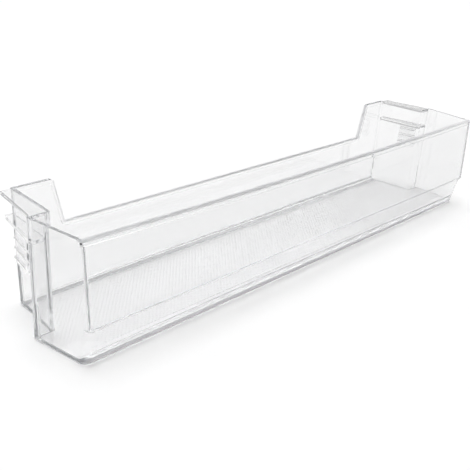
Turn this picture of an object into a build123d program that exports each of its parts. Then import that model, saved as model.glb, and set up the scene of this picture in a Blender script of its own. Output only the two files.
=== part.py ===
"""Clear moulded shelf that hangs inside a refrigerator door.

Millimetres, +Z up. X runs along the shelf, Y from the front panel (minus) to the back wall (plus),
and Z is 0 on the flat underside. The origin is the bottom centre of the bounding box.
"""
import math
import os

from build123d import *

# Overall form, taken at the rim
shelf_height = 85.0          # underside to rim
shelf_width = 480.0          # across the widest place, the two shoulders where the ends step in
front_taper = 5.0            # each front corner lies this far inside the shoulder
end_step = 14.8              # each end steps in this far behind the shoulder
rear_taper = 4.2             # and each rear corner lies this far inside the step
shoulder_depth = 47.7        # front base line to the shoulder
rear_depth = 93.0            # front base line to the outer face of the back wall
end_draft = 3.1              # how far an end wall leans in from rim to base
rear_draft = 3.0             # the same for the back wall
shoulder_draft = 0.8         # the same for the shoulder wall

# Thicknesses of the moulding, and the bead along its rim
wall = 2.4
floor_thickness = 1.8
rim_extra_front = 1.4        # added to the inside of the front wall along its rim
rim_height_front = 4.4
rim_extra_rear = 0.8         # the same along the back wall
rim_height_rear = 2.8
rim_round = 0.5

# Front wall: a bowed panel above a narrower foot
panel_foot_height = 27.0     # underside to the panel's lower edge
panel_foot_out = 5.4         # how far that edge stands in front of the base line
panel_foot_bow = 0.2         # its rise from the corners to the middle
panel_rim_out = 1.4          # the same two sizes at the rim
panel_rim_bow = 3.4
ledge_height = 1.6           # the slope under that edge, down to the foot
ledge_out = 0.6
foot_bow = 0.2

# Corner radii seen from above
corner_base = 6.0            # front corners of the foot
corner_panel = 0.6           # front corners of the panel
corner_shoulder = 2.4
corner_recess = 2.0
corner_rear = 2.0
corner_inside = 4.0          # cavity corners at the floor
floor_cove = 1.2             # round between floor and walls, inside
front_cove = 11.0            # the larger round along the front of the floor
rear_cove = 6.0              # and the one along its rear
base_round = 1.0             # round along the lower outside edge

# Back wall: low in the middle, full height at the ears
low_wall_height = 52.3
ear_length = 31.8            # from a rear corner to the ear's slanting edge, at the rim
ear_slant = 8.7              # run of that edge down to the low stretch
ear_round = 3.0
low_wall_round = 2.0

# Hanging flanges on each recessed end, and the latch tongue below the lower one
flange_thickness = 2.4
flange_setback = 2.8         # a flange's edge lies this far inside the shoulder
upper_flange_reach_rear = 8.0  # beyond the recessed wall, at the rear plane
lower_flange_reach_rear = 5.5
channel_height = 14.6        # clear room between the two flanges
tongue_gap = 5.3             # behind the shoulder
tongue_length = 18.0
tongue_thickness = 2.2
tongue_drop = 22.0           # below the lower flange's underside
ridge_count = 3
ridge_pitch = 6.8
ridge_radius = 1.1
ridge_first_drop = 5.0       # first ridge below the lower flange's underside

clearance = 5.0              # how far cutting shapes run past what they cut
touch = 0.05                 # how near the rim's plane counts as on it

foot_height = panel_foot_height - ledge_height
foot_out = panel_foot_out - ledge_out
ear_half = shelf_width / 2 - end_step - rear_taper - ear_length
low_wall_half = ear_half - ear_slant
lower_flange_top = shelf_height - flange_thickness - channel_height
front_most = max(panel_foot_out + panel_foot_bow, panel_rim_out + panel_rim_bow)
y_shift = -(rear_depth - front_most) / 2


def lean(draft, z):
    """How far a wall of this draft has come in at height z."""
    return draft * (1 - z / shelf_height)


def shoulder_half(z):
    return shelf_width / 2 - lean(end_draft, z)


def front_half(z):
    return shoulder_half(z) - front_taper


def recess_half(z):
    return shoulder_half(z) - end_step


def rear_half(z):
    return recess_half(z) - rear_taper


def shoulder_y(z):
    return shoulder_depth - lean(shoulder_draft, z)


def rear_y(z):
    return rear_depth - lean(rear_draft, z)


def plan(z, front_out, bow, radii, inset=0.0, front_inset=None, rear_inset=None):
    """Closed outline of the walls at height z, brought in from their outer faces by the insets."""
    front_inset = inset if front_inset is None else front_inset
    rear_inset = inset if rear_inset is None else rear_inset
    x_front = front_half(z) - inset
    x_shoulder = shoulder_half(z) - inset
    x_recess = recess_half(z) - inset
    x_rear = rear_half(z) - inset
    y_front = -front_out + front_inset
    y_shoulder = shoulder_y(z) - inset
    y_rear = rear_y(z) - rear_inset
    right = [(x_front, y_front), (x_shoulder, y_shoulder), (x_recess, y_shoulder), (x_rear, y_rear)]
    left = [(-x, y) for x, y in reversed(right)]
    face = make_face([ThreePointArc(left[-1], (0, y_front - bow), right[0]), Polyline(*right, *left)])
    for (x, y), radius in zip(right, radii):
        for side in (x, -x):
            face = fillet(face.vertices().sort_by_distance((side, y, 0))[0], radius)
    return Pos(0, y_shift, z) * face


def outer_body():
    """The shelf as if it were solid, with its lower outside edge rounded."""
    low = (corner_base, corner_shoulder, corner_recess, corner_rear)
    high = (corner_panel, corner_shoulder, corner_recess, corner_rear)
    body = loft([
        plan(0, 0, foot_bow, low),
        plan(foot_height, foot_out, foot_bow, low),
        plan(panel_foot_height, panel_foot_out, panel_foot_bow, high),
        plan(shelf_height, panel_rim_out, panel_rim_bow, high),
    ], ruled=True)
    return fillet(body.faces().sort_by(Axis.Z)[0].edges(), base_round)


def room_inside(end_inset, front_inset, rear_inset, floor=floor_thickness):
    """The room between the walls, open at the top, brought in from their outer faces by the insets."""
    low = (corner_inside, corner_inside, corner_recess, corner_inside)
    high = (corner_panel, corner_shoulder, corner_recess, corner_rear)
    insets = (end_inset, front_inset, rear_inset)
    top = plan(shelf_height, panel_rim_out, panel_rim_bow, high, *insets)
    room = loft([
        plan(floor, 0, foot_bow, low, *insets),
        plan(foot_height, foot_out, foot_bow, low, *insets),
        plan(panel_foot_height, panel_foot_out, panel_foot_bow, high, *insets),
        top,
    ], ruled=True)
    return room + extrude(top, clearance)


def cove_band(run, rise, radius, length):
    """A band that fills the corner between the floor and a wall up to a round.

    The wall's outer face leans out by run over rise. Y is 0 at its foot and grows into the room.
    """
    slant = math.atan2(run, rise)
    z_axis = floor_thickness + radius
    y_axis = wall + (radius - z_axis * math.sin(slant)) / math.cos(slant)
    low = floor_thickness / 2
    corners = [(-run, low), (y_axis, low), (y_axis, z_axis), (-run, z_axis)]
    band = make_face(Polyline(*corners, close=True))
    band -= Pos(y_axis, z_axis) * Circle(radius)
    return Pos(-length / 2, 0, 0) * extrude(Plane.YZ * band, length)


def front_rim():
    """The step inside the front wall along its rim, with a rounded upper edge."""
    inner = wall - panel_rim_out
    half = front_half(shelf_height)
    path = ThreePointArc((-half, inner), (0, inner - panel_rim_bow), (half, inner))
    across = Plane(origin=path @ 0, x_dir=(0, 1, 0), z_dir=path % 0)
    deep = wall / 2 + rim_extra_front
    middle = shelf_height - rim_height_front / 2
    section = Pos(rim_extra_front - deep / 2, middle) * Rectangle(deep, rim_height_front)
    section = fillet(section.vertices().sort_by_distance((rim_extra_front, shelf_height, 0))[0], rim_round)
    return Pos(0, y_shift, 0) * sweep(across * section, path=path)


def back_elevation():
    """The back wall seen square on: low in the middle, an ear at each end."""
    far = shelf_width
    right = [(far, -far), (far, shelf_height), (ear_half, shelf_height), (low_wall_half, low_wall_height)]
    left = [(-x, z) for x, z in reversed(right)]
    face = make_face(Polyline(*right, *left, close=True))
    for (x, z), radius in ((right[2], ear_round), (right[3], low_wall_round)):
        for side in (x, -x):
            face = fillet(face.vertices().sort_by_distance((side, z, 0))[0], radius)
    return face


def along_back(face):
    """The elevation carried through the back wall and no further forward."""
    near = rear_y(0) - wall - rim_extra_rear - clearance
    far = rear_depth + clearance
    return Pos(0, y_shift, 0) * extrude(Plane.XZ.offset(-far) * face, far - near)


def flange_edge(reach_rear):
    """The two ends of a flange's outer edge, seen from above: at the shoulder and at the rear plane."""
    near = (shoulder_half(shelf_height) - flange_setback, shoulder_depth)
    far = (rear_half(shelf_height) + reach_rear, rear_depth)
    return near, far


def end_flange(z_top, reach_rear):
    """One hanging flange on the +X end, from inside the shoulder wall to the rear plane."""
    z = z_top - flange_thickness / 2
    inner = wall / 2
    (x_near, _), (x_far, _) = flange_edge(reach_rear)
    y_near = shoulder_y(z)
    y_far = rear_y(z) - corner_rear
    outline = Polyline(
        (recess_half(z) - inner, y_near - inner), (x_near, y_near - inner), (x_near, y_near),
        (x_far, y_far), (rear_half(z) - inner, y_far), close=True,
    )
    return Pos(0, y_shift, z_top - flange_thickness) * extrude(make_face(outline), flange_thickness)


def latch_tongue():
    """The springy tongue under the lower flange's outer edge on the +X end, with its gripping ridges."""
    near, far = (Vector(x, y) for x, y in flange_edge(lower_flange_reach_rear))
    run = (far - near) * (1 / (far.Y - near.Y))
    start = near + run * tongue_gap
    length = (run * tongue_length).length
    root = lower_flange_top - flange_thickness / 2
    hang = lower_flange_top - flange_thickness - tongue_drop
    edge = Plane(origin=(start.X, start.Y, 0), x_dir=(run.X, run.Y, 0), z_dir=(0, 0, 1))
    middle = Pos(length / 2, tongue_thickness / 2, (root + hang) / 2)
    tongue = middle * Box(length, tongue_thickness, root - hang)
    for step in range(ridge_count):
        drop = lower_flange_top - flange_thickness - ridge_first_drop - step * ridge_pitch
        tongue += Pos(length / 2, 0, drop) * Rot(0, 90, 0) * Cylinder(ridge_radius, length)
    return Pos(0, y_shift, 0) * (edge * tongue)


def crest_edges(body):
    """Edges that run along the top of the walls: at the rim and down around the low stretch behind."""
    behind = y_shift + rear_y(0) - wall - rim_extra_rear
    edges = []
    for face in body.faces():
        at = face.center()
        up = face.normal_at(at)
        at_rim = at.Z > shelf_height - touch and up.Z > 0.99
        between_ears = at.Y > behind and abs(at.X) < ear_half + ear_round
        if at_rim or (between_ears and up.Z > 0.05 and abs(up.Y) < 0.02):
            edges += [edge for edge in face.edges() if not crosses_back(edge)]
    return ShapeList(edges)


def crosses_back(edge):
    """True for the short edges that run through the thickness of the back wall."""
    step = edge.position_at(1) - edge.position_at(0)
    return abs(step.Y) > 0.9 * step.length and abs(edge.center().X) < ear_half + ear_round


outer = outer_body()
room = room_inside(wall, wall, wall)
room = fillet(room.faces().sort_by(Axis.Z)[0].edges(), floor_cove)

fittings = end_flange(shelf_height, upper_flange_reach_rear)
fittings += end_flange(lower_flange_top, lower_flange_reach_rear)
fittings += latch_tongue()
fittings += mirror(fittings, Plane.YZ)

half_wall = room_inside(wall / 2, wall / 2, wall / 2, floor_thickness / 2)
rim_stock = half_wall - room_inside(0.75 * wall, wall, wall + rim_extra_rear)
elevation = back_elevation()
kept = along_back(elevation)
rim_back = kept - along_back(offset(elevation, -rim_height_rear))
reach = 2 * shelf_width
back_zone = along_back(Rectangle(reach, reach))

shelf = outer + fittings - room
front_band = cove_band(foot_out, foot_height, front_cove, 2 * front_half(0) - wall)
rear_band = cove_band(rear_draft, shelf_height, rear_cove, 2 * rear_half(0) - wall)
shelf += Pos(0, y_shift, 0) * front_band & half_wall
shelf += rim_stock & rim_back
shelf -= Pos(0, 0, shelf_height + clearance) * Box(reach, reach, 2 * clearance)
shelf -= back_zone - kept
shelf = fillet(crest_edges(shelf), rim_round)
shelf += front_rim() & half_wall
shelf += Pos(0, y_shift + rear_y(0), 0) * Rot(0, 0, 180) * rear_band & half_wall

os.makedirs("parts", exist_ok=True)
export_step(shelf, "parts/door_shelf.step")
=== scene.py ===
"""Clear fridge door shelf: its plastic, the anti-slip grain of its floor, and a plain studio around it.

Metres, in the shelf's own frame: X along the shelf, Y from the front panel to the back wall, Z up.
"""
import math

import bmesh
import bpy
import numpy as np
from mathutils import Matrix, Vector
from mathutils.geometry import delaunay_2d_cdt


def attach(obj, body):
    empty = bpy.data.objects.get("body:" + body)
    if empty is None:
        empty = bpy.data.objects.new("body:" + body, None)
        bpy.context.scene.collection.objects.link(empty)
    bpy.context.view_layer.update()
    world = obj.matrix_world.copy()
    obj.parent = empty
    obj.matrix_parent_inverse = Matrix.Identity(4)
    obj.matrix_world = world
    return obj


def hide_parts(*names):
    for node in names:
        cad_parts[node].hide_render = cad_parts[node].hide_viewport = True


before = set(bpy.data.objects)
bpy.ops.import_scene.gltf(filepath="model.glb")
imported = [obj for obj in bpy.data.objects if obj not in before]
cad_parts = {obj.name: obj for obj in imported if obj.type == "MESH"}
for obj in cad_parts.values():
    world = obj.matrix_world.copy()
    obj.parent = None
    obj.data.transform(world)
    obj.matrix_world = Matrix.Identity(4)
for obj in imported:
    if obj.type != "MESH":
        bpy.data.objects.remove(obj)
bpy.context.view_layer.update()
scene = bpy.context.scene

# Camera
camera_place = Vector((-0.4772, -0.3618, 0.2694))
camera_turn = math.radians(-49.64)
camera_dip = math.radians(23.79)
camera_roll = math.radians(5.17)
focal_length = 59.18
sensor_width = 36.0
nearest_seen = 0.01

# Floor of the shelf
floor_top = 0.0018           # upper face of the floor
same_height = 0.00002        # how near to it a face's middle counts as on it
facing_up = 0.999            # least Z of the normal of a face that lies flat
weld_gap = 1e-6              # corners nearer than this are one corner
same_place = 1e-7            # and points of the plan nearer than this are one point
inside_triangles = 1         # the triangulation keeps what lies inside the outline

# Anti-slip grain on it
grain_pitch = 0.0024         # from one grain pyramid to the next
grain_height = 0.000095      # of a middling pyramid
grain_spread = 0.2           # how far, as a share, a pyramid may be higher or lower than that
grain_seed = 7
grain_turn = math.radians(45)    # the grain runs in diamonds, askew to the front panel
grain_margin = 0.0012        # plain band between the grain and the round at the walls

# Satin edges. A range gives where along an axis the satin starts and where it is full. X counts from the
# middle both ways, and LEAN is X less the lean of the ears' slanting sides.
ear_lean = 0.2661            # X per Z along those sides
front_crest = (("Z", (0.0836, 0.0842)), ("Y", (-0.0400, -0.0410)))
rear_crest = (("Z", (0.0506, 0.0512)), ("Y", (0.0430, 0.0440)), ("X", (0.1830, 0.1810)))
lower_edge = (("Z", (0.00003, 0.00015)), ("Z", (0.0016, 0.0012)))
ear_side = (("LEAN", (0.1682, 0.1676)), ("Y", (0.0400, 0.0410)), ("Z", (0.0512, 0.0518)))
satin_edges = (              # roughness that the satin adds, and where
    (0.9, front_crest),
    (0.3, rear_crest),
    (0.6, lower_edge),
    (0.3, ear_side),
)

# Unevenness of surfaces: a slow cloud of tone with a fine ripple on it
ripples_per_cloud = 7.0
cloud_detail = 3.0
ripple_detail = 1.0
cloud_span = (0.3, 0.7)      # where nearly all of a cloud's values lie

# Finishes: clouds to the metre, colour and roughness from one end of a cloud's span to the other
plastic_finish = {
    "scale": 22.0,
    "colours": ((0.93, 0.931, 0.933), (0.94, 0.941, 0.943)),
    "roughness": (0.012, 0.035),
    "ripple_depth": 0.00001,
}
sheet_finish = {
    "scale": 9.0,
    "colours": ((0.895, 0.895, 0.895), (0.905, 0.905, 0.905)),
    "roughness": (0.85, 0.95),
    "ripple_depth": 0.00002,
}

# Depth of the clear plastic
plastic_ior = 1.57
depth_colour = (0.55, 0.56, 0.58, 1)
depth_density = 9.0
bounces = 128                # light crosses many walls and rounds before it leaves the plastic

# Studio
sheet_half = 6.0             # half the side of the pale sheet that the shelf stands on
sheet_drop = 0.0004          # how far it lies below the underside
dome = ((0.12, 0.35), (0.56, 1.35), (0.7, 0.6), (0.85, 0.2))   # height on a unit dome, brightness there
key_place = (0.0, 0.12, 1.0)
key_spread = math.radians(28)
key_strength = 1.66


def photo_camera():
    data = bpy.data.cameras.new("camera")
    data.lens = focal_length
    data.sensor_width = sensor_width
    data.clip_start = nearest_seen
    camera = bpy.data.objects.new("camera", data)
    turn = Matrix.Rotation(camera_turn, 4, "Z")
    dip = Matrix.Rotation(math.pi / 2 - camera_dip, 4, "X")
    roll = Matrix.Rotation(camera_roll, 4, "Z")
    camera.matrix_world = Matrix.Translation(camera_place) @ turn @ dip @ roll
    scene.collection.objects.link(camera)
    scene.camera = camera


def on_floor(face):
    middle = face.calc_center_median()
    return face.normal.z > facing_up and abs(middle.z - floor_top) < same_height


def smooth_floor(form):
    """The faces of the shelf's floor, and the edges that go round them."""
    faces = [face for face in form.faces if on_floor(face)]
    edges = dict.fromkeys(edge for face in faces for edge in face.edges)
    outline = [edge for edge in edges if sum(on_floor(face) for face in edge.link_faces) == 1]
    return faces, outline


def inside_outline(points, starts, ends):
    """True for each point that lies in the closed outline and at least the grain's margin from it."""
    run = ends - starts
    offset = points[:, None, :] - starts[None, :, :]
    along = np.clip((offset * run).sum(2) / (run * run).sum(1), 0, 1)
    gap = np.linalg.norm(offset - along[:, :, None] * run, axis=2).min(1)
    above = (starts[:, 1] > points[:, 1, None]) != (ends[:, 1] > points[:, 1, None])
    rise = np.where(run[:, 1] == 0, 1, run[:, 1])
    crossing = starts[:, 0] + (points[:, 1, None] - starts[:, 1]) * run[:, 0] / rise
    inside = (above & (points[:, 0, None] < crossing)).sum(1) % 2 == 1
    return inside & (gap > grain_margin)


def grain_cells(starts, ends):
    """The grain's square cells that fit inside the outline, and the plan places of all cell corners."""
    along = np.array([math.cos(grain_turn), math.sin(grain_turn)])
    axes = np.array([along, [-along[1], along[0]]])
    low = (starts @ axes.T).min(0)
    high = (starts @ axes.T).max(0)
    count_x, count_y = ((high - low) / grain_pitch).astype(int)
    spare = (high - low - np.array([count_x, count_y]) * grain_pitch) / 2
    columns, rows = np.meshgrid(np.arange(count_x + 1), np.arange(count_y + 1), indexing="ij")
    corners = (low + spare + np.stack([columns, rows], 2).reshape(-1, 2) * grain_pitch) @ axes
    fits = inside_outline(corners, starts, ends).reshape(count_x + 1, count_y + 1)
    corners = corners.reshape(count_x + 1, count_y + 1, 2)
    cells = []
    for i in range(count_x):
        for j in range(count_y):
            if fits[i:i + 2, j:j + 2].all():
                cells.append((i, j))
    return cells, corners


def grain_pyramids(starts, ends, first):
    """The grain in plan: its points, their heights, and its cells' sides as pairs of points.

    The points are numbered on from first.
    """
    cells, corners = grain_cells(starts, ends)
    share = np.random.default_rng(grain_seed).uniform(1 - grain_spread, 1 + grain_spread, len(cells))
    points = []
    heights = []
    sides = []
    known = {}
    for (i, j), height in zip(cells, grain_height * share):
        ring = []
        for corner in ((i, j), (i + 1, j), (i + 1, j + 1), (i, j + 1)):
            if corner not in known:
                known[corner] = first + len(points)
                points.append(Vector(corners[corner]))
                heights.append(0.0)
            ring.append(known[corner])
        sides += [tuple(sorted((ring[k], ring[k - 1]))) for k in range(4)]
        points.append(Vector(corners[i, j] + corners[i + 1, j + 1]) / 2)
        heights.append(height)
    return points, heights, sides


def lay_grain(form, normal_of):
    """Replace the smooth floor by the same floor with grain on it. Each new face is shaded flat."""
    old_faces, outline = smooth_floor(form)
    starts = np.array([edge.verts[0].co.xy for edge in outline])
    ends = np.array([edge.verts[1].co.xy for edge in outline])
    bmesh.ops.delete(form, geom=old_faces, context="FACES")

    rim = list(dict.fromkeys(vert for edge in outline for vert in edge.verts))
    place = {vert: i for i, vert in enumerate(rim)}
    rim_edges = [(place[edge.verts[0]], place[edge.verts[1]]) for edge in outline]
    points, heights, sides = grain_pyramids(starts, ends, len(rim))
    plan = [vert.co.xy.copy() for vert in rim] + points
    edges = sorted(set(rim_edges + sides))
    flat, _, rings, sources, _, _ = delaunay_2d_cdt(plan, edges, [], inside_triangles, same_place)
    verts = []
    for at, source in zip(flat, sources):
        if source[0] < len(rim):
            verts.append(rim[source[0]])
        else:
            height = heights[source[0] - len(rim)]
            verts.append(form.verts.new((at.x, at.y, floor_top + height)))
    for ring in rings:
        face = form.faces.new([verts[k] for k in ring])
        face.normal_update()
        if face.normal.z < 0:
            face.normal_flip()
        for loop in face.loops:
            loop[normal_of] = face.normal


def grained_shelf(node):
    """The shelf as the CAD has it, its smooth shading kept, with anti-slip grain on its floor."""
    mesh = node.data.copy()
    mesh.name = "door_shelf_grained"
    kept = mesh.attributes.new("kept_normal", "FLOAT_VECTOR", "CORNER")
    kept.data.foreach_set("vector", np.array([n.vector for n in mesh.corner_normals], np.float32).ravel())
    form = bmesh.new()
    form.from_mesh(mesh)
    bmesh.ops.remove_doubles(form, verts=form.verts, dist=weld_gap)
    lay_grain(form, form.loops.layers.float_vector["kept_normal"])
    form.to_mesh(mesh)
    form.free()
    normals = np.zeros(len(mesh.loops) * 3, np.float32)
    mesh.attributes["kept_normal"].data.foreach_get("vector", normals)
    mesh.attributes.remove(mesh.attributes["kept_normal"])
    mesh.normals_split_custom_set(normals.reshape(-1, 3).tolist())
    mesh.materials.clear()
    shelf = bpy.data.objects.new("door_shelf_grained", mesh)
    scene.collection.objects.link(shelf)
    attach(shelf, "root")
    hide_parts("door_shelf")
    return shelf


def moulded_unevenness():
    """Node group: a slow cloud and a finer ripple over the surface, both about 0 to 1."""
    group = bpy.data.node_groups.new("moulded_unevenness", "ShaderNodeTree")
    group.interface.new_socket("Scale", in_out="INPUT", socket_type="NodeSocketFloat")
    group.interface.new_socket("Cloud", in_out="OUTPUT", socket_type="NodeSocketFloat")
    group.interface.new_socket("Ripple", in_out="OUTPUT", socket_type="NodeSocketFloat")
    nodes = group.nodes
    links = group.links
    given = nodes.new("NodeGroupInput")
    result = nodes.new("NodeGroupOutput")
    place = nodes.new("ShaderNodeTexCoord")
    cloud = nodes.new("ShaderNodeTexNoise")
    cloud.inputs["Detail"].default_value = cloud_detail
    finer = nodes.new("ShaderNodeMath")
    finer.operation = "MULTIPLY"
    finer.inputs[1].default_value = ripples_per_cloud
    ripple = nodes.new("ShaderNodeTexNoise")
    ripple.inputs["Detail"].default_value = ripple_detail
    links.new(given.outputs["Scale"], cloud.inputs["Scale"])
    links.new(given.outputs["Scale"], finer.inputs[0])
    links.new(finer.outputs["Value"], ripple.inputs["Scale"])
    for noise, name in ((cloud, "Cloud"), (ripple, "Ripple")):
        links.new(place.outputs["Object"], noise.inputs["Vector"])
        links.new(noise.outputs["Fac"], result.inputs[name])
    return group


def uneven_finish(material, group, scale, colours, roughness, ripple_depth):
    """Drive a material's colour, roughness and fine relief from the unevenness of its surface."""
    nodes = material.node_tree.nodes
    links = material.node_tree.links
    surface = nodes["Principled BSDF"]
    uneven = nodes.new("ShaderNodeGroup")
    uneven.node_tree = group
    uneven.inputs["Scale"].default_value = scale
    tone = nodes.new("ShaderNodeValToRGB")
    for stop, at, grey in zip(tone.color_ramp.elements, cloud_span, colours):
        stop.position = at
        stop.color = (*grey, 1)
    gloss = nodes.new("ShaderNodeMapRange")
    gloss.inputs["From Min"].default_value = cloud_span[0]
    gloss.inputs["From Max"].default_value = cloud_span[1]
    gloss.inputs["To Min"].default_value = roughness[0]
    gloss.inputs["To Max"].default_value = roughness[1]
    relief = nodes.new("ShaderNodeBump")
    relief.inputs["Strength"].default_value = 1.0
    relief.inputs["Distance"].default_value = ripple_depth
    links.new(uneven.outputs["Cloud"], tone.inputs["Fac"])
    links.new(uneven.outputs["Cloud"], gloss.inputs["Value"])
    links.new(uneven.outputs["Ripple"], relief.inputs["Height"])
    links.new(tone.outputs["Color"], surface.inputs["Base Color"])
    links.new(gloss.outputs["Result"], surface.inputs["Roughness"])
    links.new(relief.outputs["Normal"], surface.inputs["Normal"])


def satin_finish(material):
    """Roughen the shelf's satin edges, and leave the polish that the rest of it has."""
    nodes = material.node_tree.nodes
    links = material.node_tree.links
    rough = nodes["Principled BSDF"].inputs["Roughness"]
    place = nodes.new("ShaderNodeTexCoord")
    both_ways = nodes.new("ShaderNodeVectorMath")
    both_ways.operation = "ABSOLUTE"
    signed = nodes.new("ShaderNodeSeparateXYZ")
    outward = nodes.new("ShaderNodeSeparateXYZ")
    links.new(place.outputs["Object"], signed.inputs["Vector"])
    links.new(place.outputs["Object"], both_ways.inputs[0])
    links.new(both_ways.outputs["Vector"], outward.inputs["Vector"])
    upright = nodes.new("ShaderNodeMath")
    upright.operation = "MULTIPLY_ADD"
    upright.inputs[1].default_value = -ear_lean
    links.new(signed.outputs["Z"], upright.inputs[0])
    links.new(outward.outputs["X"], upright.inputs[2])
    measures = {
        "X": outward.outputs["X"],
        "Y": signed.outputs["Y"],
        "Z": signed.outputs["Z"],
        "LEAN": upright.outputs["Value"],
    }
    finish = rough.links[0].from_socket
    for added, ranges in satin_edges:
        share = None
        for axis, (start, full) in ranges:
            reach = nodes.new("ShaderNodeMapRange")
            reach.inputs["From Min"].default_value = start
            reach.inputs["From Max"].default_value = full
            links.new(measures[axis], reach.inputs["Value"])
            if share is None:
                share = reach.outputs["Result"]
            else:
                overlap = nodes.new("ShaderNodeMath")
                overlap.operation = "MULTIPLY"
                links.new(share, overlap.inputs[0])
                links.new(reach.outputs["Result"], overlap.inputs[1])
                share = overlap.outputs["Value"]
        satin = nodes.new("ShaderNodeMath")
        satin.operation = "MULTIPLY_ADD"
        satin.inputs[1].default_value = added
        links.new(share, satin.inputs[0])
        links.new(finish, satin.inputs[2])
        finish = satin.outputs["Value"]
    links.new(finish, rough)


def clear_plastic(group):
    material = bpy.data.materials.new("clear_plastic")
    material.use_nodes = True
    nodes = material.node_tree.nodes
    links = material.node_tree.links
    plastic = nodes["Principled BSDF"]
    plastic.inputs["IOR"].default_value = plastic_ior
    plastic.inputs["Transmission Weight"].default_value = 1.0
    uneven_finish(material, group, **plastic_finish)
    satin_finish(material)
    depth = nodes.new("ShaderNodeVolumeAbsorption")
    depth.inputs["Color"].default_value = depth_colour
    depth.inputs["Density"].default_value = depth_density
    links.new(depth.outputs["Volume"], nodes["Material Output"].inputs["Volume"])
    return material


def floor_sheet(group):
    corners = [(-sheet_half, -sheet_half, 0), (sheet_half, -sheet_half, 0)]
    corners += [(sheet_half, sheet_half, 0), (-sheet_half, sheet_half, 0)]
    mesh = bpy.data.meshes.new("floor")
    mesh.from_pydata(corners, [], [(0, 1, 2, 3)])
    floor = bpy.data.objects.new("floor", mesh)
    floor.location.z = -sheet_drop
    scene.collection.objects.link(floor)
    material = bpy.data.materials.new("pale_floor")
    material.use_nodes = True
    uneven_finish(material, group, **sheet_finish)
    mesh.materials.append(material)


def studio():
    world = bpy.data.worlds.new("studio")
    scene.world = world
    world.use_nodes = True
    nodes = world.node_tree.nodes
    links = world.node_tree.links
    direction = nodes.new("ShaderNodeTexCoord")
    height = nodes.new("ShaderNodeSeparateXYZ")
    ramp = nodes.new("ShaderNodeValToRGB")
    ramp.color_ramp.interpolation = "EASE"
    while len(ramp.color_ramp.elements) < len(dome):
        ramp.color_ramp.elements.new(1.0)
    for stop, (place, brightness) in zip(ramp.color_ramp.elements, dome):
        stop.position = place
        stop.color = (brightness, brightness, brightness, 1)
    links.new(direction.outputs["Generated"], height.inputs["Vector"])
    links.new(height.outputs["Z"], ramp.inputs["Fac"])
    links.new(ramp.outputs["Color"], nodes["Background"].inputs["Color"])
    nodes["Background"].inputs["Strength"].default_value = 1.0
    data = bpy.data.lights.new("key", "SUN")
    data.angle = key_spread
    data.energy = key_strength
    light = bpy.data.objects.new("key", data)
    light.location = key_place
    light.rotation_euler = (-Vector(key_place)).to_track_quat("-Z", "Y").to_euler()
    scene.collection.objects.link(light)


photo_camera()
shelf = grained_shelf(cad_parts["door_shelf"])
unevenness = moulded_unevenness()
shelf.data.materials.append(clear_plastic(unevenness))
floor_sheet(unevenness)
studio()

scene.view_settings.view_transform = "Standard"
scene.cycles.blur_glossy = 0.0
scene.cycles.max_bounces = bounces
scene.cycles.transmission_bounces = bounces
scene.cycles.glossy_bounces = bounces
